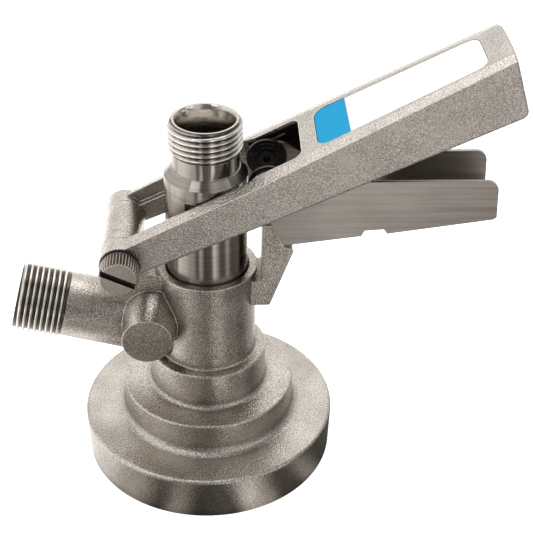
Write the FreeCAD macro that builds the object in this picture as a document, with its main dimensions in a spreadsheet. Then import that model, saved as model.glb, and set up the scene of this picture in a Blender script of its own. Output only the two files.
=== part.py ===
"""Keg coupler with a slide-on base, a sliding probe and a lever with a release trigger.

Millimetres and degrees. +Z is up along the coupler axis, the origin is the centre of the
base's underside, and +X points to the handle. The lever is drawn along its own X axis and
placed on the hinge, raised by lever_incline.
"""
import FreeCAD, Part
import os
import re

import Sketcher
from FreeCAD import Placement, Rotation, Vector

doc = FreeCAD.newDocument("keg_coupler")
sheet = doc.addObject("Spreadsheet::Sheet", "dims")

# Driving dimensions: alias and value
DIMENSIONS = {
    # Cast body
    "base_radius": 41.9,
    "base_height": 14.8,
    "base_draft": 0.5,
    "base_edge": 1.2,
    "step_radius": 28.3,
    "step_top": 25.9,
    "step_cove": 2.8,
    "collar_radius": 19.1,
    "collar_top": 38.9,
    "collar_cove": 1.8,
    "rim_edge": 0.8,
    "tower_radius": 15.6,
    "tower_top": 70.6,
    "tower_lip_radius": 16.1,
    "tower_lip_height": 7.0,
    "gas_chamber_radius": 14.3,
    "gas_chamber_top": 54.9,
    "gas_chamber_bottom": 39.4,
    "stem_chamber_radius": 13.0,
    "wall_gap": 0.3,
    "running_fit": 0.08,
    "seat_fit": 0.03,
    # Slot that slides on the flange of the keg
    "flange_slot_radius": 32.0,
    "flange_slot_height": 6.0,
    "lip_opening_radius": 28.5,
    "lip_thickness": 4.2,
    "keg_seal_radius": 23.0,
    "keg_seal_height": 4.7,
    "keg_seal_proud": 0.8,
    # Gas inlet, measured along its own tilted axis from the coupler axis
    "inlet_height": 44.0,
    "inlet_tilt": 13.8,
    "inlet_root_radius": 11.3,
    "inlet_neck_radius": 10.5,
    "inlet_thread_start": 47.4,
    "inlet_end": 63.0,
    "inlet_bore_radius": 6.0,
    "valve_pocket_radius": 8.2,
    "valve_pocket_floor": 49.0,
    "valve_flange_height": 2.0,
    "valve_bill_length": 8.5,
    "valve_ring_height": 2.2,
    # Blank boss on the side
    "boss_x": -19.2,
    "boss_z": 52.7,
    "boss_radius": 7.9,
    "boss_reach": 18.0,
    "boss_root_reach": 7.0,
    "boss_root_radius": 9.7,
    "boss_root_shift": 1.5,
    # Hinge
    "hinge_x": -26.3,
    "hinge_z": 81.1,
    "hinge_barrel_radius": 6.5,
    "hinge_barrel_half": 10.75,
    "hinge_web_half": 6.0,
    "hinge_bolt_radius": 3.0,
    "bolt_head_radius": 6.1,
    "bolt_head_height": 6.9,
    "bolt_slot_width": 2.0,
    "bolt_slot_depth": 1.6,
    "bolt_slot_turn": -52.0,
    "bolt_washer_height": 0.5,
    # Catch on the body
    "catch_half": 7.1,
    "catch_x": 17.2,
    "catch_top": 88.5,
    "catch_bottom": 58.7,
    "catch_tip_width": 3.3,
    "catch_notch_x": 23.8,
    "catch_notch_z": 80.8,
    "catch_nose_x": 27.2,
    "catch_foot_x": 19.9,
    "catch_edge": 1.6,
    # Threads of both connections
    "thread_radius": 11.455,
    "thread_chamfer": 0.8,
    # Probe
    "probe_radius": 12.95,
    "probe_top": 122.4,
    "probe_thread_end": 111.9,
    "probe_relief_radius": 10.4,
    "shoulder_radius": 10.7,
    "shoulder_top": 106.6,
    "shoulder_bottom": 104.1,
    "land_bottom": 100.5,
    "land_step": 0.25,
    "skirt_bottom": 54.9,
    "stem_radius": 8.0,
    "probe_tip": 14.0,
    "beer_bore_radius": 8.8,
    "beer_bore_floor": 71.4,
    "ball_seat_height": 4.0,
    "stem_bore_radius": 5.0,
    "probe_seal_radius": 9.2,
    "probe_seal_height": 4.0,
    "probe_seal_lift": 1.2,
    "seal_groove_depth": 1.2,
    "o_ring_section": 0.7,
    "upper_o_ring_z": 66.0,
    "lower_o_ring_z": 59.0,
    "ball_radius": 6.5,
    "ball_lift": 3.5,
    "retainer_height": 2.0,
    "retainer_hole_radius": 4.5,
    # Lever, drawn along its own axis
    "lever_incline": 26.0,
    "lever_travel": 28.0,
    "arm_inner": 13.4,
    "arm_outer": 17.6,
    "arm_top": 5.6,
    "arm_bottom": 5.2,
    "rib_length": 18.0,
    "rib_top": 1.85,
    "rib_bottom": 3.2,
    "lever_length": 132.6,
    "end_bulge": 0.5,
    "end_slant": 8.4,
    "grip_half": 13.7,
    "bevel_width": 3.6,
    "bevel_drop": 0.95,
    "taper_start": 48.0,
    "grip_top": 9.8,
    "grip_bottom": 9.7,
    "fork_shoulder": 46.0,
    "window_half": 11.8,
    "window_end": 64.5,
    "window_corner": 3.0,
    "top_web": 2.4,
    "grip_wall": 2.4,
    "lever_edge": 1.5,
    "drive_pin_along": 27.7,
    "drive_pin_above": 2.3,
    "drive_pin_radius": 3.6,
    "drive_pin_end": 9.9,
    "drive_slot_play": 0.35,
    "pin_embed": 3.0,
    "label_start": 70.0,
    "label_length": 54.5,
    "label_half": 10.5,
    "label_taper": 0.7,
    "label_recess": 0.8,
    "label_thickness": 0.6,
    "label_corner": 4.0,
    # Release trigger, drawn about its pivot
    "pivot_along": 50.8,
    "pivot_above": 1.0,
    "trigger_half": 10.2,
    "trigger_sheet": 1.2,
    "trigger_reach": 70.1,
    "trigger_top": 1.5,
    "trigger_rear_drop": 12.1,
    "trigger_front_drop": 20.9,
    "trigger_front": 4.7,
    "trigger_head": 5.0,
    "trigger_corner": 3.5,
    "finger_web_start": 37.2,
    "notch_start": 28.7,
    "notch_height": 2.0,
    "bush_flange_radius": 6.3,
    "bush_flange_height": 1.0,
    "bush_barrel_radius": 3.4,
    "bush_spigot_radius": 2.4,
    "screw_head_radius": 2.6,
    "screw_head_height": 2.4,
    "screw_head_proud": 0.6,
    "screw_shank_radius": 1.5,
    "screw_socket_radius": 1.3,
    "spring_wire_radius": 0.4,
    "spring_coil_radius": 2.95,
    "spring_turns": 2.25,
    "spring_leg": 8.0,
}
for row, (alias, number) in enumerate(DIMENSIONS.items(), start=1):
    sheet.set(f"A{row}", alias)
    sheet.set(f"B{row}", str(number))
    sheet.setAlias(f"B{row}", alias)
doc.recompute()


def bound(text):
    """Turn the plain names in an expression into references to the sheet."""
    def reference(match):
        word = match.group()
        return f"dims.{word}" if word in DIMENSIONS else word
    return re.sub(r"[a-z]\w*", reference, text)


def number_of(text):
    return float(sheet.evalExpression(bound(text)))


def new_body(name):
    body = doc.addObject("PartDesign::Body", name)
    body.Label = name
    return body


def origin_feature(body, role):
    return next(item for item in body.Origin.OriginFeatures if item.Role == role)


def sketch_on(body, name, role):
    sketch = body.newObject("Sketcher::SketchObject", name)
    sketch.AttachmentSupport = [(origin_feature(body, role), "")]
    sketch.MapMode = "FlatFace"
    return sketch


def outline(body, name, role, corners):
    """Closed outline of straight sides whose corners are pairs of expressions."""
    sketch = sketch_on(body, name, role)
    places = [(number_of(across), number_of(up)) for across, up in corners]
    count = len(places)
    for index in range(count):
        start = Vector(*places[index], 0)
        end = Vector(*places[(index + 1) % count], 0)
        sketch.addGeometry(Part.LineSegment(start, end))
    for index in range(count):
        following = (index + 1) % count
        sketch.addConstraint(Sketcher.Constraint("Coincident", index, 2, following, 1))
    for index, (across, up) in enumerate(corners):
        for kind, text, place in (("DistanceX", across, 0), ("DistanceY", up, 1)):
            rule = Sketcher.Constraint(kind, -1, 1, index, 1, places[index][place])
            added = sketch.addConstraint(rule)
            sketch.setExpression(f"Constraints[{added}]", bound(text))
    return sketch


def turned(name, corners):
    """Revolved body: corners are radius and height along its own Z axis."""
    body = new_body(name)
    sketch = outline(body, name + "_outline", "XZ_Plane", corners)
    turn = body.newObject("PartDesign::Revolution", name + "_turn")
    turn.Profile = sketch
    turn.ReferenceAxis = (sketch, ["V_Axis"])
    turn.Angle = 360
    doc.recompute()
    return body


def padded(name, role, corners, width):
    """Body padded evenly to both sides of one origin plane."""
    body = new_body(name)
    sketch = outline(body, name + "_outline", role, corners)
    pad = body.newObject("PartDesign::Pad", name + "_pad")
    pad.Profile = sketch
    pad.SideType = "Symmetric"
    pad.setExpression("Length", bound(width))
    doc.recompute()
    return body


def pocketed(body, name, role, corners, width=None):
    """Pocket to both sides of one origin plane, or through all."""
    sketch = outline(body, name + "_outline", role, corners)
    pocket = body.newObject("PartDesign::Pocket", name)
    pocket.Profile = sketch
    pocket.SideType = "Symmetric"
    if width is None:
        pocket.Type = "ThroughAll"
    else:
        pocket.setExpression("Length", bound(width))
    doc.recompute()
    return pocket


def rounded(body, name, radius, chosen):
    """Fillet the edges of the body's tip that pass the test."""
    base = body.Tip
    names = [f"Edge{i}" for i, edge in enumerate(base.Shape.Edges, start=1) if chosen(edge)]
    fillet = body.newObject("PartDesign::Fillet", name)
    fillet.Base = (base, names)
    fillet.setExpression("Radius", bound(radius))
    doc.recompute()
    return fillet


def circle_at(radius, height):
    """Test for a circular edge about the Z axis."""
    wanted_radius = number_of(radius)
    wanted_height = number_of(height)

    def test(edge):
        if not isinstance(edge.Curve, Part.Circle):
            return False
        same_radius = abs(edge.Curve.Radius - wanted_radius) < 0.01
        return same_radius and abs(edge.Curve.Center.z - wanted_height) < 0.01
    return test


def cross_edge_at(*corners):
    """Test for straight edges along Y that pass the given places in X and Z."""
    places = [(number_of(across), number_of(up)) for across, up in corners]

    def test(edge):
        box = edge.BoundBox
        if box.YLength < 0.5 or box.XLength > 0.01 or box.ZLength > 0.01:
            return False
        return any(abs(box.XMin - x) < 0.02 and abs(box.ZMin - z) < 0.02 for x, z in places)
    return test


def rod(name, radius, length, axis="Z", x="0", y="0", z="0"):
    """Cylinder that starts at a point and runs along +X, +Y or +Z."""
    turns = {
        "X": Rotation(Vector(0, 1, 0), 90),
        "Y": Rotation(Vector(1, 0, 0), -90),
        "Z": Rotation(),
    }
    cylinder = doc.addObject("Part::Cylinder", name)
    cylinder.Placement = Placement(Vector(), turns[axis])
    cylinder.setExpression("Radius", bound(radius))
    cylinder.setExpression("Height", bound(length))
    cylinder.setExpression("Placement.Base.x", bound(x))
    cylinder.setExpression("Placement.Base.y", bound(y))
    cylinder.setExpression("Placement.Base.z", bound(z))
    return cylinder


def block(name, corner, size):
    """Box from its lowest corner and its size, both as expressions."""
    box = doc.addObject("Part::Box", name)
    for key, text in zip(("x", "y", "z"), corner):
        box.setExpression(f"Placement.Base.{key}", bound(text))
    for key, text in zip(("Length", "Width", "Height"), size):
        box.setExpression(key, bound(text))
    return box


def mirrored(source, name):
    """Copy of a piece on the other side of the XZ plane."""
    copy = doc.addObject("Part::Mirroring", name)
    copy.Source = source
    copy.Normal = Vector(0, 1, 0)
    return copy


def fused(name, pieces):
    union = doc.addObject("Part::MultiFuse", name)
    union.Shapes = pieces
    doc.recompute()
    return union


def shared(name, pieces):
    common = doc.addObject("Part::MultiCommon", name)
    common.Shapes = pieces
    doc.recompute()
    return common


def cut(name, base, tool):
    remainder = doc.addObject("Part::Cut", name)
    remainder.Base = base
    remainder.Tool = tool
    doc.recompute()
    return remainder


def grouped(name, pieces):
    """Separate solids that share one node."""
    group = doc.addObject("Part::Compound", name)
    group.Links = pieces
    doc.recompute()
    return group


def place_on_inlet(piece):
    piece.Placement = Placement(Vector(), Rotation(Vector(0, 1, 0), -80))
    piece.setExpression("Placement.Base.z", bound("inlet_height"))
    piece.setExpression("Placement.Rotation.Angle", bound("inlet_tilt - 90"))


def place_on_lever(piece):
    piece.Placement = Placement(Vector(), Rotation(Vector(0, 1, 0), -20))
    piece.setExpression("Placement.Base.x", bound("hinge_x"))
    piece.setExpression("Placement.Base.z", bound("hinge_z"))
    piece.setExpression("Placement.Rotation.Angle", bound("- lever_incline"))


COS = "cos( lever_incline * 1deg )"
SIN = "sin( lever_incline * 1deg )"
PIVOT_X = f"hinge_x + pivot_along * {COS} - pivot_above * {SIN}"
PIVOT_Z = f"hinge_z + pivot_along * {SIN} + pivot_above * {COS}"
PIN_X = f"hinge_x + drive_pin_along * {COS} - drive_pin_above * {SIN}"
PIN_Z = f"hinge_z + drive_pin_along * {SIN} + drive_pin_above * {COS}"
PIN_THROW = "sqrt( drive_pin_along * drive_pin_along + drive_pin_above * drive_pin_above )"
SLOT_TOP = "lip_thickness + flange_slot_height"
BORE = "( probe_radius + running_fit )"


def body_bell():
    bell = turned("body_bell", [
        ("0", "0"),
        ("base_radius - base_draft", "0"),
        ("base_radius", "base_height"),
        ("step_radius", "base_height"),
        ("step_radius", "step_top"),
        ("collar_radius", "step_top"),
        ("collar_radius", "collar_top"),
        ("tower_radius", "collar_top"),
        ("tower_radius", "tower_top - tower_lip_height"),
        ("tower_lip_radius", "tower_top"),
        ("0", "tower_top"),
    ])
    rounded(bell, "base_rim", "base_edge", circle_at("base_radius", "base_height"))
    rounded(bell, "lower_cove", "step_cove", circle_at("step_radius", "base_height"))
    rounded(bell, "step_rim", "rim_edge", circle_at("step_radius", "step_top"))
    rounded(bell, "upper_cove", "collar_cove", circle_at("collar_radius", "step_top"))
    rounded(bell, "collar_rim", "rim_edge", circle_at("collar_radius", "collar_top"))
    rounded(bell, "tower_foot", "rim_edge", circle_at("tower_radius", "collar_top"))
    return bell


def body_bore():
    """Everything turned out of the body along its axis."""
    groove = "( probe_radius + running_fit + 2 * o_ring_section + seat_fit )"
    half = "( o_ring_section + seat_fit )"
    mouth = "0.6"
    return turned("body_bore", [
        ("0", "lip_thickness"),
        ("keg_seal_radius + running_fit", "lip_thickness"),
        ("keg_seal_radius + running_fit", f"{SLOT_TOP} + keg_seal_height - keg_seal_proud"),
        ("stem_chamber_radius", f"{SLOT_TOP} + keg_seal_height - keg_seal_proud"),
        ("stem_chamber_radius", "gas_chamber_bottom - 2"),
        ("gas_chamber_radius", "gas_chamber_bottom"),
        ("gas_chamber_radius", "gas_chamber_top"),
        (BORE, "gas_chamber_top + 1"),
        (BORE, f"lower_o_ring_z - {half}"),
        (groove, f"lower_o_ring_z - {half}"),
        (groove, f"lower_o_ring_z + {half}"),
        (BORE, f"lower_o_ring_z + {half}"),
        (BORE, f"upper_o_ring_z - {half}"),
        (groove, f"upper_o_ring_z - {half}"),
        (groove, f"upper_o_ring_z + {half}"),
        (BORE, f"upper_o_ring_z + {half}"),
        (BORE, f"tower_top - {mouth}"),
        (f"{BORE} + {mouth}", "tower_top"),
        (f"{BORE} + {mouth}", "tower_top + 1"),
        ("0", "tower_top + 1"),
    ])


def keg_slot():
    """T-slot that is open to the back, where the coupler slides on the keg."""
    far = "base_radius + 5"
    pieces = []
    levels = (
        ("lip", "lip_opening_radius", "-1", "lip_thickness + 1"),
        ("flange", "flange_slot_radius", "lip_thickness", "flange_slot_height"),
    )
    for name, radius, start, height in levels:
        pieces.append(rod(name + "_round", radius, height, z=start))
        corner = (f"- {radius}", "0", start)
        pieces.append(block(name + "_way", corner, (f"2 * {radius}", far, height)))
    return fused("keg_slot", pieces)


def inlet_solid():
    return turned("inlet_solid", [
        ("0", "0"),
        ("inlet_root_radius", "0"),
        ("inlet_neck_radius", "inlet_thread_start"),
        ("thread_radius - thread_chamfer", "inlet_thread_start"),
        ("thread_radius", "inlet_thread_start + thread_chamfer"),
        ("thread_radius", "inlet_end - thread_chamfer"),
        ("thread_radius - thread_chamfer", "inlet_end"),
        ("0", "inlet_end"),
    ])


def inlet_bore():
    return turned("inlet_bore", [
        ("0", "8"),
        ("inlet_bore_radius", "8"),
        ("inlet_bore_radius", "valve_pocket_floor"),
        ("valve_pocket_radius", "valve_pocket_floor"),
        ("valve_pocket_radius", "inlet_end - thread_chamfer"),
        ("valve_pocket_radius + thread_chamfer", "inlet_end"),
        ("valve_pocket_radius + thread_chamfer", "inlet_end + 1"),
        ("0", "inlet_end + 1"),
    ])


def blank_boss():
    """Boss for a relief valve, left blank here. It leans into the corner of neck and tower."""
    rings = []
    for name, radius, shift, reach in (
        ("boss_face", "boss_radius", "0", "boss_reach"),
        ("boss_foot", "boss_root_radius", "boss_root_shift", "boss_root_reach"),
    ):
        circle = doc.addObject("Part::Circle", name)
        circle.Placement = Placement(Vector(), Rotation(Vector(1, 0, 0), -90))
        circle.setExpression("Radius", bound(radius))
        circle.setExpression("Placement.Base.x", bound(f"boss_x + {shift}"))
        circle.setExpression("Placement.Base.y", bound(f"0 - {reach}"))
        circle.setExpression("Placement.Base.z", bound(f"boss_z + {shift}"))
        rings.append(circle)
    cone = doc.addObject("Part::Loft", "boss_cone")
    cone.Sections = rings
    cone.Solid = True
    root = rod("boss_root", "boss_root_radius", "boss_root_reach - 2", "Y",
               "boss_x + boss_root_shift", "0 - boss_root_reach", "boss_z + boss_root_shift")
    return fused("blank_boss", [cone, root])


def hinge_web():
    return padded("hinge_web", "XZ_Plane", [
        ("0 - tower_radius + 2", "boss_z + 4"),
        ("0 - tower_radius + 2", "tower_top - 1.5"),
        ("hinge_x + 1.1 * hinge_barrel_radius", "tower_top - 0.3"),
        ("hinge_x + 0.8 * hinge_barrel_radius", "hinge_z - 2"),
        ("hinge_x - 0.9 * hinge_barrel_radius", "hinge_z - 2"),
        ("hinge_x - 0.5 * hinge_barrel_radius", "boss_z + 8"),
    ], "2 * hinge_web_half")


def catch():
    """Catch that the nose of the trigger rests behind, up and down."""
    plate = padded("catch", "XZ_Plane", [
        ("tower_radius - 3", "catch_bottom"),
        ("catch_foot_x", "catch_bottom"),
        ("catch_nose_x", "catch_notch_z - 1.5"),
        ("catch_nose_x - 0.5", "catch_notch_z - 0.8"),
        ("catch_notch_x", "catch_notch_z"),
        ("catch_x + catch_tip_width", "catch_top"),
        ("catch_x", "catch_top"),
        ("catch_x", "tower_top - 3"),
        ("tower_radius - 3", "tower_top - 3"),
    ], "2 * catch_half")
    corners = cross_edge_at(
        ("catch_foot_x", "catch_bottom"),
        ("catch_notch_x", "catch_notch_z"),
        ("catch_x", "catch_top"),
    )
    rounded(plate, "catch_corners", "catch_edge / 2", corners)
    return plate


def body_casting():
    outer_inlet = inlet_solid()
    place_on_inlet(outer_inlet)
    bore = inlet_bore()
    place_on_inlet(bore)
    barrel = rod("hinge_barrel", "hinge_barrel_radius", "2 * hinge_barrel_half", "Y",
                 "hinge_x", "- hinge_barrel_half", "hinge_z")
    hole = rod("hinge_hole", "hinge_bolt_radius + running_fit", "2 * arm_outer", "Y",
               "hinge_x", "- arm_outer", "hinge_z")
    solid = fused("body_solid", [
        body_bell(), outer_inlet, blank_boss(), hinge_web(), catch(), barrel,
    ])
    hollows = fused("body_hollows", [body_bore(), keg_slot(), bore, hole])
    return cut("body_casting", solid, hollows)


def ring(name, inner, outer, bottom, height):
    return turned(name, [
        (inner, bottom),
        (outer, bottom),
        (outer, f"{bottom} + {height}"),
        (inner, f"{bottom} + {height}"),
    ])


def o_ring(name, height):
    torus = doc.addObject("Part::Torus", name)
    torus.setExpression("Radius1", bound("probe_radius + running_fit + o_ring_section"))
    torus.setExpression("Radius2", bound("o_ring_section"))
    torus.setExpression("Placement.Base.z", bound(height))
    return torus


def keg_seal():
    return ring("keg_seal", "probe_seal_radius + wall_gap", "keg_seal_radius",
                f"{SLOT_TOP} - keg_seal_proud", "keg_seal_height")


def gas_check_valve():
    """Rubber duckbill that lets gas in and keeps beer out."""
    flange = ring("valve_flange", "3.2", "valve_pocket_radius - running_fit",
                  "valve_pocket_floor + seat_fit", "valve_flange_height")
    bill = doc.addObject("Part::Loft", "valve_bill")
    bottom = doc.addObject("Part::Circle", "bill_root")
    bottom.setExpression("Radius", bound("inlet_bore_radius - wall_gap - 0.2"))
    bottom.setExpression("Placement.Base.z", bound("valve_pocket_floor + 0.5"))
    lips = doc.addObject("Part::Ellipse", "bill_lips")
    lips.setExpression("MajorRadius", bound("inlet_bore_radius - wall_gap - 0.6"))
    lips.setExpression("MinorRadius", "0.9")
    lips.setExpression("Placement.Base.z", bound("valve_pocket_floor - valve_bill_length"))
    bill.Sections = [bottom, lips]
    bill.Solid = True
    cone = doc.addObject("Part::Cone", "bill_inside")
    cone.setExpression("Radius1", "0.3")
    cone.setExpression("Radius2", "3.2")
    cone.setExpression("Height", bound("valve_bill_length + valve_flange_height"))
    cone.setExpression("Placement.Base.z", bound("valve_pocket_floor - valve_bill_length + 0.6"))
    solid = fused("valve_solid", [flange, bill])
    valve = cut("gas_check_valve", solid, cone)
    place_on_inlet(valve)
    return valve


def valve_ring():
    collar = ring("check_valve_ring", "4.6", "valve_pocket_radius - seat_fit",
                  "valve_pocket_floor + valve_flange_height + 2 * seat_fit", "valve_ring_height")
    place_on_inlet(collar)
    return collar


def probe():
    groove = "( stem_radius - seal_groove_depth )"
    groove_bottom = "( probe_tip + probe_seal_lift )"
    land = "( probe_radius - land_step )"
    turned_blank = turned("probe_blank", [
        ("stem_bore_radius", "probe_tip"),
        ("stem_radius - 0.8", "probe_tip"),
        ("stem_radius", "probe_tip + 0.8"),
        ("stem_radius", groove_bottom),
        (groove, groove_bottom),
        (groove, f"{groove_bottom} + probe_seal_height"),
        ("stem_radius", f"{groove_bottom} + probe_seal_height"),
        ("stem_radius", "skirt_bottom - 5"),
        ("probe_radius - 1", "skirt_bottom"),
        ("probe_radius", "skirt_bottom + 1"),
        ("probe_radius", "land_bottom - 12"),
        (land, "land_bottom - 12"),
        (land, "land_bottom"),
        ("probe_radius", "land_bottom"),
        ("probe_radius", "shoulder_bottom"),
        ("shoulder_radius", "shoulder_top"),
        ("probe_relief_radius", "shoulder_top"),
        ("probe_relief_radius", "probe_thread_end"),
        ("thread_radius - 0.4", "probe_thread_end"),
        ("thread_radius", "probe_thread_end + 0.6"),
        ("thread_radius", "probe_top - thread_chamfer"),
        ("thread_radius - thread_chamfer", "probe_top"),
        ("beer_bore_radius + 0.7", "probe_top"),
        ("beer_bore_radius", "probe_top - 1"),
        ("beer_bore_radius", "beer_bore_floor"),
        ("stem_bore_radius", "beer_bore_floor - ball_seat_height"),
    ])
    slots = []
    reach = "( drive_pin_radius + drive_slot_play )"
    left = f"( {PIN_X} - {reach} )"
    right = f"( hinge_x + {PIN_THROW} + {reach} )"
    for side, start in (("near", "- probe_radius - 1"), ("far", "drive_pin_end - wall_gap")):
        corner = (left, start, f"{PIN_Z} - {reach}")
        depth = "probe_radius + 1 - drive_pin_end + wall_gap"
        slots.append(block(f"{side}_slot", corner, (f"{right} - {left}", depth, f"2 * {reach}")))
    return cut("probe", turned_blank, fused("drive_slots", slots))


def probe_seal():
    return ring("probe_seal", "stem_radius - seal_groove_depth + seat_fit", "probe_seal_radius",
                "probe_tip + probe_seal_lift + seat_fit", "probe_seal_height - 2 * seat_fit")


BALL_LIFT_OFF_SEAT = "0.1"
SEAT_SLOPE = "( ( beer_bore_radius - stem_bore_radius ) / ball_seat_height )"
BALL_Z = ("beer_bore_floor - ball_seat_height + "
          f"( ball_radius * sqrt( 1 + {SEAT_SLOPE} * {SEAT_SLOPE} ) - stem_bore_radius )"
          f" / {SEAT_SLOPE} + {BALL_LIFT_OFF_SEAT}")


def check_ball():
    ball = doc.addObject("Part::Sphere", "check_ball")
    ball.setExpression("Radius", bound("ball_radius"))
    ball.setExpression("Placement.Base.z", bound(BALL_Z))
    return ball


def ball_retainer():
    """Slotted ring that keeps the ball in the probe and lets beer past it."""
    bottom = f"{BALL_Z} + ball_radius + ball_lift + wall_gap"
    disc = ring("retainer_disc", "retainer_hole_radius", "beer_bore_radius - seat_fit",
                bottom, "retainer_height")
    ways = []
    for index in range(3):
        way = block(f"retainer_way_{index}", ("0", "-1.2", bottom + " - 1"),
                    ("beer_bore_radius - 1.6", "2.4", "retainer_height + 2"))
        way.Placement.Rotation = Rotation(Vector(0, 0, 1), 120 * index)
        if index:
            way.setExpression("Placement.Base.x", "0")
            way.setExpression("Placement.Base.y", "0")
            corner = Rotation(Vector(0, 0, 1), 120 * index).multVec(Vector(0, -1.2, 0))
            way.setExpression("Placement.Base.x", str(round(corner.x, 4)))
            way.setExpression("Placement.Base.y", str(round(corner.y, 4)))
        ways.append(way)
    return cut("ball_retainer", disc, fused("retainer_ways", ways))


def lever_blank():
    """Outer form of the lever: side view padded, then tapered in plan and rounded."""
    blank = padded("lever_blank", "XZ_Plane", [
        ("0", "- arm_bottom"),
        ("lever_length + 5", "- grip_bottom"),
        ("lever_length + 5", "grip_top + 0.2"),
        ("taper_start - 5", "arm_top + 1.2"),
        ("13", "arm_top + 0.6"),
        ("0", "arm_top"),
    ], "2 * arm_outer")
    past = "lever_length + 5"
    for side, sign in (("near", "-"), ("far", "")):
        pocketed(blank, f"{side}_taper", "XY_Plane", [
            ("taper_start", f"{sign} arm_outer"),
            (past, f"{sign} grip_half"),
            (past, f"{sign} 2 * arm_outer"),
            ("taper_start", f"{sign} 2 * arm_outer"),
        ])
    bulged_end(blank)
    length = number_of("lever_length")
    top = number_of("arm_top")

    def side_edge(edge):
        box = edge.BoundBox
        return box.ZMin > top - 0.1 and box.YLength < 8 and abs(box.YMin) > 5 and box.XLength > 4

    before = blank.Tip
    bevel = blank.newObject("PartDesign::Chamfer", "top_bevel")
    bevel.Base = (before, [f"Edge{i}" for i, edge in enumerate(before.Shape.Edges, start=1)
                           if side_edge(edge)])
    bevel.ChamferType = "Two distances"
    bevel.setExpression("Size", bound("bevel_drop"))
    bevel.setExpression("Size2", bound("bevel_width"))
    doc.recompute()

    def end_edge(edge):
        box = edge.BoundBox
        upright = box.ZLength > 10
        on_top = box.ZMin > top and box.YLength > 0.5
        return box.XMin > length - 8 and (upright or on_top)

    def foot_edge(edge):
        box = edge.BoundBox
        return box.XMin > length - 8 and box.ZMax < 0 and box.YLength > 10

    rounded(blank, "foot_rounding", "1.6 * lever_edge", foot_edge)
    rounded(blank, "end_rounding", "0.7 * lever_edge", end_edge)
    return blank


def bulged_end(body):
    """Trim the end of the lever to a slanted, slightly bulged face."""
    side = "arm_outer"
    crown = "lever_length * cos( end_slant * 1deg ) - grip_top * sin( end_slant * 1deg )"
    radius = "( grip_half * grip_half + end_bulge * end_bulge ) / ( 2 * end_bulge )"
    depth = f"{radius} - sqrt( ( {radius} ) * ( {radius} ) - {side} * {side} )"
    sketch = sketch_on(body, "end_face_outline", "XY_Plane")
    lean = Rotation(Vector(0, 1, 0), number_of("end_slant"))
    sketch.AttachmentOffset = Placement(Vector(), lean)
    sketch.setExpression("AttachmentOffset.Rotation.Angle", bound("end_slant"))
    near_x = f"{crown} - ( {depth} )"
    corners = [(near_x, f"0 - {side}"), (near_x, side), (f"{crown} + 12", side),
               (f"{crown} + 12", f"0 - {side}")]
    places = [Vector(number_of(across), number_of(up), 0) for across, up in corners]
    middle = Vector(number_of(crown), 0, 0)
    sketch.addGeometry(Part.Arc(places[0], middle, places[1]))
    for index in (1, 2, 3):
        sketch.addGeometry(Part.LineSegment(places[index], places[(index + 1) % 4]))
    for index in range(4):
        sketch.addConstraint(Sketcher.Constraint("Coincident", index, 2, (index + 1) % 4, 1))
    for index, (across, up) in enumerate(corners):
        for kind, text, place in (("DistanceX", across, places[index].x),
                                  ("DistanceY", up, places[index].y)):
            added = sketch.addConstraint(Sketcher.Constraint(kind, -1, 1, index, 1, place))
            sketch.setExpression(f"Constraints[{added}]", bound(text))
    added = sketch.addConstraint(Sketcher.Constraint("Radius", 0, number_of(radius)))
    sketch.setExpression(f"Constraints[{added}]", bound(radius))
    pocket = body.newObject("PartDesign::Pocket", "end_face")
    pocket.Profile = sketch
    pocket.SideType = "Symmetric"
    pocket.Type = "ThroughAll"
    doc.recompute()


def lever_cavity():
    """Hollow under the grip, open below, as the casting is cored."""
    side = padded("cavity_side", "XZ_Plane", [
        ("fork_shoulder", "- 2 * grip_bottom"),
        ("lever_length - 3 * grip_wall", "- 2 * grip_bottom"),
        ("lever_length - 1.5 * grip_wall", "grip_top - top_web - 1"),
        ("lever_length - 2 * grip_wall", "grip_top - top_web"),
        ("fork_shoulder", "arm_top + 1.3 - top_web"),
    ], "4 * arm_outer")
    plan = padded("cavity_plan", "XY_Plane", [
        ("fork_shoulder", "- arm_inner"),
        ("window_end", "- arm_inner"),
        ("lever_length", "grip_wall - grip_half"),
        ("lever_length", "grip_half - grip_wall"),
        ("window_end", "arm_inner"),
        ("fork_shoulder", "arm_inner"),
    ], "6 * grip_bottom")
    return shared("lever_cavity", [side, plan])


def lever_fork():
    """Opening between the arms, which narrows to the window behind the probe."""
    fork = padded("lever_fork", "XY_Plane", [
        ("-20", "- arm_inner"),
        ("fork_shoulder", "- arm_inner"),
        ("fork_shoulder + 4", "- window_half"),
        ("window_end", "- window_half"),
        ("window_end", "window_half"),
        ("fork_shoulder + 4", "window_half"),
        ("fork_shoulder", "arm_inner"),
        ("-20", "arm_inner"),
    ], "6 * grip_bottom")
    end = number_of("window_end")

    def corner(edge):
        box = edge.BoundBox
        return box.ZLength > 20 and box.XMin > end - 0.01

    rounded(fork, "window_corners", "window_corner", corner)
    return fork


def label_shape(name, depth, margin):
    """Flat plate with rounded corners that lies along the top of the grip."""
    plate = padded(name, "XY_Plane", [
        (f"0 - {margin}", f"0 - label_half - label_taper - {margin}"),
        (f"label_length + {margin}", f"label_taper - label_half - {margin}"),
        (f"label_length + {margin}", f"label_half - label_taper + {margin}"),
        (f"0 - {margin}", f"label_half + label_taper + {margin}"),
    ], depth)

    def corner(edge):
        return edge.BoundBox.ZLength > 0.3 and edge.BoundBox.XLength < 0.01 and \
            edge.BoundBox.YLength < 0.01

    rounded(plate, name + "_corners", f"label_corner + {margin}", corner)
    return plate


LABEL_RISE = "( ( grip_top - arm_top - 1 ) / ( lever_length - taper_start + 10 ) )"
LABEL_TOP = f"( arm_top + 1.2 + {LABEL_RISE} * ( label_start - taper_start + 5 ) )"


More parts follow.
